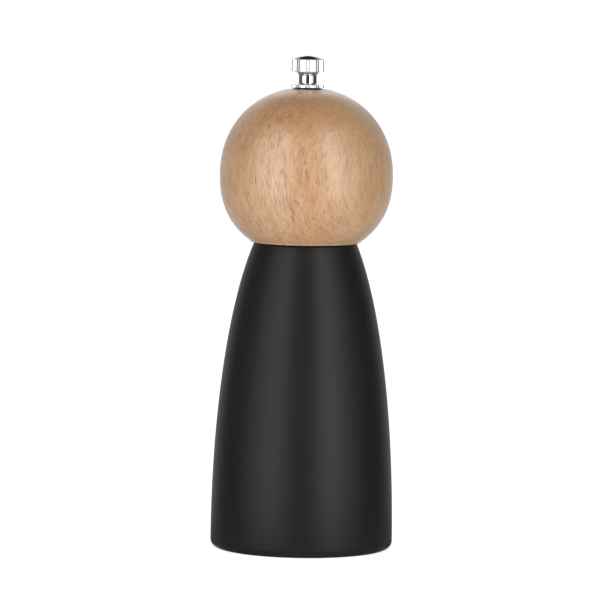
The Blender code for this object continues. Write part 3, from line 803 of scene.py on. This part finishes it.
def make_spring():
    """A coil whose ends lie flat: it climbs slowly at first and at last."""
    low_z, high_z, outer = span("spring")
    radius = outer - WIRE_R
    sections = int(SPRING_TURNS * 40)
    mesh = bmesh.new()
    rings = []
    for step in range(sections + 1):
        part = step / sections
        angle = math.tau * SPRING_TURNS * part
        climb = part - 0.5 * math.sin(math.tau * part) / math.tau
        z = low_z + WIRE_R + (high_z - low_z - 2 * WIRE_R) * climb
        ring = []
        for side in range(WIRE_SIDES):
            around = math.tau * side / WIRE_SIDES
            reach = radius + WIRE_R * math.cos(around)
            place = (reach * math.cos(angle), reach * math.sin(angle), z + WIRE_R * math.sin(around))
            ring.append(mesh.verts.new(place))
        rings.append(ring)
    for lower, upper in zip(rings, rings[1:]):
        join_rings(mesh, lower, upper)
    mesh.faces.new(rings[0])
    mesh.faces.new(rings[-1])
    spring = mesh_object(mesh, "compression_spring", STEEL)
    stand_for(spring, "spring")
    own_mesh(spring)


COARSE_TEETH = 8
FINE_TEETH = 24


def saw(turn, rounding=0.12):
    """A saw tooth from 0 at the tip to 1 at the root, with a short steep back."""
    turn %= 1.0
    return turn / (1 - rounding) if turn < 1 - rounding else (1 - turn) / rounding


def levels_between(points, step):
    """Adds points along each stretch of an (r, z) line, no further apart in z than step."""
    line = [points[0]]
    for start, end in zip(points, points[1:]):
        count = max(1, round(abs(end[1] - start[1]) / step))
        for index in range(1, count + 1):
            part = index / count
            radius = start[0] + (end[0] - start[0]) * part
            line.append((radius, start[1] + (end[1] - start[1]) * part))
    return line


def toothed_shape(count, low_z, high_z, coarse_depth, fine_depth, sign, lean):
    """Teeth on the first count levels: deep and coarse at the top, shallow and fine at the foot."""

    def shape(radius, z, angle, index):
        if index >= count:
            return radius
        rise = (z - low_z) / (high_z - low_z)
        twist = lean * rise
        coarse = saw((angle - twist) * COARSE_TEETH / math.tau)
        fine = saw((angle - twist) * FINE_TEETH / math.tau)
        coarse_part = coarse_depth * min(1.0, max(0.0, rise * 1.6 - 0.3))
        fine_part = fine_depth * min(1.0, max(0.15, 1.5 - 2.2 * rise))
        return radius - sign * (coarse_part * coarse + fine_part * fine)

    return shape


CORE_HEX_HALF = 4.4 * MM
CORE_FLANGE_TOP_Z = 6.9 * MM
CORE_FLANGE_R = 6.8 * MM
ROTOR_BEND = (11.0 * MM, 5.6 * MM)
ROTOR_TOP_R = 7.6 * MM
FINEST_GAP = 0.35 * MM
THROAT = (12.0 * MM, 16.2 * MM)
MOUTH_R = 13.2 * MM


def make_rotor():
    low_z, top_z, outer = span("rotor_burr")
    teeth = levels_between([(outer, low_z), ROTOR_BEND, (ROTOR_TOP_R, top_z)], 0.5 * MM)
    shaped = toothed_shape(len(teeth), low_z, top_z, 0.9 * MM, 0.5 * MM, 1, math.radians(22))
    hexagon = polygon(6, 30)
    bore_z = CORE_FLANGE_TOP_Z + GAP
    bore_r = CORE_HEX_HALF + GAP
    seat_r = CORE_FLANGE_R + GAP
    line = teeth + [(bore_r + 0.6 * MM, top_z), (bore_r, top_z - 0.3 * MM), (bore_r, bore_z)]
    line += [(seat_r, bore_z), (seat_r, bore_z - 0.6 * MM), (9.0 * MM, low_z)]

    def shape(radius, z, angle, index):
        if index < len(teeth):
            return shaped(radius, z, angle, index)
        return hexagon(radius, z, angle, index) if radius == bore_r else radius

    rotor = sweep("grinding_cone", line, CERAMIC, 192, shape, even=False)
    stand_for(rotor, "rotor_burr")


def make_stator():
    low_z, top_z, outer = span("stator_burr")
    rotor_low, _, rotor_r = span("rotor_burr")
    slope = (rotor_r - ROTOR_BEND[0]) / (ROTOR_BEND[1] - rotor_low)

    def grinding_r(z):
        return rotor_r - slope * (z - GRIND_TRAVEL - rotor_low) + FINEST_GAP

    bend_z = ROTOR_BEND[1] + GRIND_TRAVEL
    side = [(grinding_r(low_z), low_z), (grinding_r(bend_z), bend_z), THROAT]
    teeth = levels_between(side, 0.6 * MM)
    shape = toothed_shape(len(teeth), low_z, THROAT[1], 0.7 * MM, 0.45 * MM, -1, math.radians(-16))
    rest = [(MOUTH_R, top_z - 0.1 * MM), (MOUTH_R + 0.2 * MM, top_z)]
    outside = [rest[-1], (outer, top_z), (outer, low_z), teeth[0]]
    rest += rounded(outside, 0.3 * MM, closed=False)[1:-1]
    stator = sweep("grinding_ring", teeth + rest, CERAMIC, 192, shape, even=False)
    stand_for(stator, "stator_burr")


def make_core():
    low_z, top_z, flange_r = span("rotor_core")
    hexagon = polygon(6, 30)
    square = polygon(4)
    line = rounded(
        [
            (SQUARE_HOLE_HALF, low_z),
            (flange_r, low_z),
            (flange_r, CORE_FLANGE_TOP_Z),
            (CORE_HEX_HALF, CORE_FLANGE_TOP_Z, 0.0),
            (CORE_HEX_HALF, top_z),
            (SQUARE_HOLE_HALF, top_z),
        ],
        0.2 * MM,
    )

    def shape(radius, z, angle, index):
        if radius < SQUARE_HOLE_HALF + 0.21 * MM:
            return square(radius, z, angle, index)
        if radius < CORE_HEX_HALF + 0.01 * MM:
            return hexagon(radius, z, angle, index)
        return radius

    core = sweep("rotor_carrier", line, NYLON, 96, shape)
    stand_for(core, "rotor_core")


def make_nut():
    """A hexagon nut with both faces chamfered to a circle and a countersunk thread hole."""
    low_z, high_z, corner_r = span("rotor_nut")
    half = corner_r * math.cos(math.pi / 6)
    hexagon = polygon(6, 30)
    bore = THREAD_R + GAP
    chamfer = 0.45 * MM
    line = [
        (bore, low_z + 0.3 * MM),
        (bore + 0.3 * MM, low_z),
        (half * 0.98, low_z),
        (corner_r, low_z + chamfer),
        (corner_r, high_z - chamfer),
        (half * 0.98, high_z),
        (bore + 0.3 * MM, high_z),
        (bore, high_z - 0.3 * MM),
    ]

    def shape(radius, z, angle, index):
        if radius > bore + 0.4 * MM:
            return min(radius, hexagon(half, z, angle, index))
        return radius

    nut = sweep("hexagon_nut", line, STEEL, 96, shape)
    stand_for(nut, "rotor_nut")


def make_bush():
    low_z, top_z, flange_r = span("guide_bush")
    barrel_r = 5.2 * MM
    flange_top_z = 18.6 * MM
    line = rounded(
        [
            (SQUARE_HOLE_HALF, low_z),
            (flange_r, low_z),
            (flange_r, flange_top_z),
            (barrel_r, flange_top_z, 0.0),
            (barrel_r, top_z),
            (SQUARE_HOLE_HALF, top_z),
        ],
        0.25 * MM,
    )
    bush = sweep("guide_bush_moulding", line, NYLON, 96, square_hole(SQUARE_HOLE_HALF + 0.26 * MM))
    stand_for(bush, "guide_bush")


HUB_R = 7.3 * MM
HUB_BORE_R = 5.5 * MM
HUB_Z = 18.9 * MM
HUB_TOP_Z = 27.7 * MM
BRIDGE_INNER_R = 13.4 * MM
BRIDGE_TOP_Z = 23.7 * MM
ARM_Z = 20.8 * MM
ARM_TOP_Z = 23.2 * MM
ARM_WIDTH = 3.4 * MM


def tube(name, inner, outer, low_z, high_z, sides):
    """A tube of black plastic with rounded edges."""
    corners = [(inner, low_z), (outer, low_z), (outer, high_z), (inner, high_z)]
    return sweep(name, rounded(corners, 0.3 * MM), BLACK_PLASTIC, sides, even=False)


def make_bridge():
    low_z, _, outer = span("bridge")
    spider = tube("bridge_moulding", BRIDGE_INNER_R, outer, low_z, BRIDGE_TOP_Z, 96)
    combine(spider, tube("hub_tool", HUB_BORE_R, HUB_R, HUB_Z, HUB_TOP_Z, 60), "UNION")
    start = HUB_BORE_R + 1.0 * MM
    length = BRIDGE_INNER_R + 2.0 * MM - start
    for number in range(3):
        middle = (start + length / 2, 0.0, (ARM_Z + ARM_TOP_Z) / 2)
        size = (length, ARM_WIDTH, ARM_TOP_Z - ARM_Z)
        angle = math.tau * number / 3
        arm = bevelled_box("arm_tool", size, middle, BLACK_PLASTIC, angle, 0.35 * MM)
        combine(spider, arm, "UNION")
    stand_for(spider, "bridge")


def screw_places(nodes):
    """Where each screw stands, as (x, y)."""
    places = []
    for node in nodes:
        low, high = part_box(node)
        places.append(((low.x + high.x) / 2, (low.y + high.y) / 2))
    return places


HOUSING_SCREWS = [f"housing_screw_{number}" for number in (1, 2, 3)]
PLATE_SCREWS = [f"drive_plate_screw_{number}" for number in (1, 2)]
SCREW_R = 1.15 * MM
SCREW_HOLE_R = SCREW_R + GAP


def make_housing():
    low_z, top_z, flange_r = span("burr_housing")
    stator_low, _, stator_r = span("stator_burr")
    tube_r = span("bridge")[2]
    flange_top_z = RECESS_DEPTH - GAP
    lip_r = 13.7 * MM
    line = rounded(
        [
            (lip_r, low_z),
            (flange_r, low_z),
            (flange_r, flange_top_z),
            (tube_r, flange_top_z),
            (tube_r, top_z),
            (stator_r + GAP, top_z),
            (stator_r + GAP, stator_low - GAP),
            (lip_r, stator_low - GAP),
        ],
        0.3 * MM,
    )
    housing = sweep("housing_moulding", line, BLACK_PLASTIC, 144, even=False)
    for place in screw_places(HOUSING_SCREWS):
        hole = [
            (0.0, low_z - 0.2 * MM),
            (3.02 * MM, low_z - 0.2 * MM),
            (SCREW_HOLE_R, low_z + 1.37 * MM),
            (SCREW_HOLE_R, RECESS_DEPTH + 0.5 * MM),
            (0.0, RECESS_DEPTH + 0.5 * MM),
        ]
        tool = sweep("hole_tool", hole, BLACK_PLASTIC, 40, centre=place, even=False)
        combine(housing, tool, "DIFFERENCE")
    groove_r = (lip_r + flange_r) / 2 - 2.4 * MM
    inner, outer = groove_r - 0.3 * MM, groove_r + 0.3 * MM
    start_z, end_z = low_z - 0.3 * MM, low_z + 0.35 * MM
    groove = [(inner, start_z), (outer, start_z), (outer, end_z), (inner, end_z)]
    tool = sweep("groove_tool", rounded(groove, 0.1 * MM), BLACK_PLASTIC, 100, even=False)
    combine(housing, tool, "DIFFERENCE")
    stand_for(housing, "burr_housing")


def cross_recess(screw, place, head_z, width, depth):
    """Cuts a cross into a screw's head, which faces down. It narrows towards its bottom."""
    for turn in (0.0, math.pi / 2):
        mesh = bmesh.new()
        bmesh.ops.create_cube(mesh, size=1.0)
        bmesh.ops.scale(mesh, verts=mesh.verts, vec=(width, width * 0.24, depth * 2))
        for vert in mesh.verts:
            if vert.co.z > 0:
                vert.co.x *= 0.35
                vert.co.y *= 0.8
        turn_mesh(mesh, turn + 0.4)
        bmesh.ops.translate(mesh, verts=mesh.verts, vec=(*place, head_z))
        combine(screw, mesh_object(mesh, "recess_tool", STEEL), "DIFFERENCE")


def screw_thread(shank_z):
    """A wood screw's thread from shank_z up: a wide pitch and a sharp crest."""
    pitch = 1.1 * MM

    def shape(radius, z, angle, index):
        if z < shank_z:
            return radius
        turn = (z / pitch - angle / math.tau) % 1.0
        ridge = max(0.0, 1 - abs(2 * turn - 1) * 2.6)
        return radius * (0.72 + 0.28 * ridge)

    return shape


def finish_screw(node, place, head_line, thread_z, point_length, recess_depth):
    """A wood screw from the line of its head: its thread, its point and its cross recess."""
    low_z, high_z, _ = span(node)
    point_z = high_z - point_length
    step = 0.12 * MM
    line = list(head_line)
    line += levels_between([(SCREW_R, thread_z), (SCREW_R, point_z - 0.1 * MM)], step)
    line += levels_between([(SCREW_R, point_z), (0.2 * MM, high_z - 0.1 * MM)], step)
    line += [(0.0, high_z)]
    shape = screw_thread(thread_z - 0.01 * MM)
    name = node.replace("screw", "wood_screw")
    screw = sweep(name, line, STEEL, 36, shape, place, even=False)
    cross_recess(screw, place, low_z, screw_head_r(node) * 1.25, recess_depth)
    stand_for(screw, node)


def screw_head_r(node):
    low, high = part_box(node)
    return (high.x - low.x) / 2


def make_screws():
    """Three countersunk screws for the housing, and two round-headed ones for the drive plate."""
    for node, place in zip(HOUSING_SCREWS, screw_places(HOUSING_SCREWS)):
        low_z = span(node)[0]
        head_r = screw_head_r(node)
        head = [(0.0, low_z), (head_r - 0.1 * MM, low_z), (head_r, low_z + 0.08 * MM)]
        head += [(SCREW_R, low_z + 1.1 * MM), (SCREW_R, low_z + 1.6 * MM)]
        finish_screw(node, place, head, low_z + 1.65 * MM, 1.5 * MM, 0.9 * MM)
    for node, place in zip(PLATE_SCREWS, screw_places(PLATE_SCREWS)):
        low_z = span(node)[0]
        head_r = screw_head_r(node)
        seat_z = low_z + 1.2 * MM
        head = [(0.0, low_z)] + arc(head_r - 0.8 * MM, low_z + 0.8 * MM, 0.8 * MM, -90, 0, 6)
        head += [(head_r, seat_z - 0.08 * MM), (head_r - 0.08 * MM, seat_z), (SCREW_R, seat_z)]
        finish_screw(node, place, head, seat_z + 0.5 * MM, 1.3 * MM, 0.7 * MM)


def make_plate():
    low_z, high_z, outer = span("drive_plate")
    half = SQUARE_HOLE_HALF
    line = rounded([(half, low_z), (outer, low_z), (outer, high_z), (half, high_z)], 0.15 * MM)
    plate = sweep("square_hole_plate", line, STEEL, 120, square_hole(half + 0.2 * MM), even=False)
    for place in screw_places(PLATE_SCREWS):
        start_z, end_z = low_z - MM, high_z + MM
        hole = [(0.0, start_z), (SCREW_HOLE_R, start_z), (SCREW_HOLE_R, end_z), (0.0, end_z)]
        tool = sweep("hole_tool", hole, STEEL, 32, centre=place, even=False)
        combine(plate, tool, "DIFFERENCE")
    stand_for(plate, "drive_plate")


make_body()
make_head()
make_knob()
make_ring("knob_washer", "friction_washer", THREAD_R + GAP, 0.08 * MM, WASHER_SQUEEZE)
make_ring("head_ferrule", "ferrule_bush", 3.9 * MM, 0.25 * MM)
make_ring("rotor_washer", "flat_washer", THREAD_R + GAP, 0.12 * MM)
make_shaft()
make_clip()
make_spring()
make_rotor()
make_stator()
make_core()
make_nut()
make_bush()
make_bridge()
make_housing()
make_plate()
make_screws()


# Stage: a pale floor that only the camera sees, in a tent with soft boxes at both sides.

FLOOR_HALF = 60.0
FLOOR_GLOW = 0.8


def make_floor():
    """The pale floor, which is clear from below."""
    pale = Shader("pale_floor", 0.9, specular_ior_level=0.0)
    mottle = pale.noise(pale.place, 3.0, 2.0)
    pale.use("Base Color", pale.mix(mottle, grey(0.80), grey(0.82)))
    pale.bsdf.inputs["Emission Color"].default_value = grey(1.0)
    pale.bsdf.inputs["Emission Strength"].default_value = FLOOR_GLOW
    underneath = pale.node("NewGeometry").outputs["Backfacing"]
    clear = pale.node("BsdfTransparent").outputs[0]
    pale.show(pale.bsdf.outputs[0], clear, underneath)
    mesh = bmesh.new()
    bmesh.ops.create_grid(mesh, x_segments=4, y_segments=4, size=FLOOR_HALF)
    floor = mesh_object(mesh, "stage_floor", pale.material)
    floor.location.z = -0.05 * MM
    floor.visible_glossy = False
    floor.visible_diffuse = False
    floor.visible_shadow = False


SHADE_INNER_R = 31.0 * MM
SHADE_OUTER_R = 170.0 * MM


def make_floor_shade():
    """The dim floor round the foot, as the lacquer reflects it: a ring that fades outwards."""
    shade = Shader("floor_shade", 0.9)
    fade = shade.between(shade.flat_length(shade.place), SHADE_INNER_R, SHADE_OUTER_R)
    dim = shade.node("Emission", {"Color": grey(0.2), "Strength": 1.0}).outputs[0]
    clear = shade.node("BsdfTransparent").outputs[0]
    shade.show(dim, clear, fade)
    mesh = bmesh.new()
    rings = []
    for radius in (SHADE_INNER_R, SHADE_OUTER_R):
        ring = []
        for side in range(SMALL_SIDES):
            angle = math.tau * side / SMALL_SIDES
            ring.append(mesh.verts.new((radius * math.cos(angle), radius * math.sin(angle), 0.0)))
        rings.append(ring)
    join_rings(mesh, *rings)
    ring = mesh_object(mesh, "stage_floor_shade", shade.material)
    ring.location.z = -0.03 * MM
    ring.visible_camera = False
    ring.visible_diffuse = False
    ring.visible_shadow = False


# The light round the mill: from how many degrees to the camera's right it has which brightness.
# Each change is a soft step.
ROUND_LIGHT = (
    (-180, 1.2),
    (-166, 0.55),
    (-142, 0.27),
    (-126, 0.09),
    (-73, 1.25),
    (-48, 2.05),
    (-23, 0.2),
    (-19, 0.04),
    (19, 0.2),
    (23, 2.65),
    (48, 0.9),
    (74, 0.04),
    (126, 0.24),
    (142, 0.5),
    (166, 1.2),
)
STEP_DEG = 4.0
# The same from straight down to straight up, as a share of the light round the mill.
LOWEST_DEG = -25
HIGHEST_DEG = 55
HIGHEST_DEG_BEHIND = 44
LIGHT_ABOVE = 0.02
FLOOR_LIGHT = 1.05
FLOOR_LIGHT_BEHIND = 0.38
# What polished pieces mirror of the floor, which is dim close to the mill.
FLOOR_MIRRORED = 0.3


def set_ramp(ramp, stops):
    elements = ramp.color_ramp.elements
    while len(elements) < len(stops):
        elements.new(0.5)
    for element, (position, level) in zip(elements, stops):
        element.position = position
        element.color = grey(level)


def make_tent():
    """The world's light: ROUND_LIGHT at the sides, dim above, and the floor's light below."""
    world = bpy.data.worlds.new("studio")
    world.use_nodes = True
    world.node_tree.nodes.clear()
    tent = Nodes(world.node_tree)
    x, y, z = tent.split(tent.node("TexCoord").outputs["Generated"])
    azimuth = tent.math("ARCTAN2", x, tent.math("MULTIPLY", y, -1.0))
    turn = tent.math("MULTIPLY_ADD", azimuth, 1 / math.tau, 0.5)
    light = tent.node("ValToRGB", {0: turn})
    stops = [(0.0, ROUND_LIGHT[0][1])]
    for (_, before), (degrees, level) in zip(ROUND_LIGHT, ROUND_LIGHT[1:]):
        stops.append(((degrees - STEP_DEG / 2) / 360 + 0.5, before))
        stops.append(((degrees + STEP_DEG / 2) / 360 + 0.5, level))
    set_ramp(light, stops)

    def from_front(front, behind):
        """One value on the camera's side and another behind the mill."""
        values = {0: y, 1: -0.2, 2: 0.2, 3: front, 4: behind}
        return tent.node("MapRange", values).outputs[0]

    def above(height):
        """0 below a height (the sine of its angle) and 1 above it, with a soft edge."""
        rise = tent.math("SUBTRACT", z, height)
        return tent.node("MapRange", {0: rise, 1: -0.06, 2: 0.06}).outputs[0]

    def blend(factor, first, second):
        values = {0: factor, 2: first, 3: second}
        return tent.node("Mix", values, data_type="FLOAT").outputs[0]

    front_top = math.sin(math.radians(HIGHEST_DEG))
    back_top = math.sin(math.radians(HIGHEST_DEG_BEHIND))
    mirrored = tent.node("LightPath").outputs["Is Glossy Ray"]
    dimming = tent.node("MapRange", {0: mirrored, 3: 1.0, 4: FLOOR_MIRRORED}).outputs[0]
    floor_light = tent.math("MULTIPLY", from_front(FLOOR_LIGHT, FLOOR_LIGHT_BEHIND), dimming)
    level = blend(above(math.sin(math.radians(LOWEST_DEG))), floor_light, light.outputs[0])
    level = blend(above(from_front(front_top, back_top)), level, LIGHT_ABOVE)
    background = tent.node("Background", {0: level})
    tent.put(background.outputs[0], tent.node("OutputWorld").inputs[0])
    bpy.context.scene.world = world


# The camera, as fitted to the photo: metres, radians, and millimetres for its lens and sensor.
CAMERA_DISTANCE = 1.5658
CAMERA_HEIGHT = 0.2153
CAMERA_SIDE = 0.0005
CAMERA_PITCH = 0.0860
CAMERA_ROLL = 0.0145
CAMERA_LENS = 279.2
CAMERA_SENSOR = 36.0


def make_camera():
    data = bpy.data.cameras.new("product_camera")
    data.lens = CAMERA_LENS
    data.sensor_width = CAMERA_SENSOR
    data.clip_start = 0.1
    data.clip_end = 200.0
    camera = bpy.data.objects.new("product_camera", data)
    camera.location = (CAMERA_SIDE, -CAMERA_DISTANCE, CAMERA_HEIGHT)
    pitch = Matrix.Rotation(math.pi / 2 - CAMERA_PITCH, 4, "X")
    camera.rotation_euler = (pitch @ Matrix.Rotation(CAMERA_ROLL, 4, "Z")).to_euler()
    bpy.context.scene.collection.objects.link(camera)
    bpy.context.scene.camera = camera


make_floor()
make_floor_shade()
make_tent()
make_camera()
bpy.context.scene.view_settings.view_transform = "Standard"
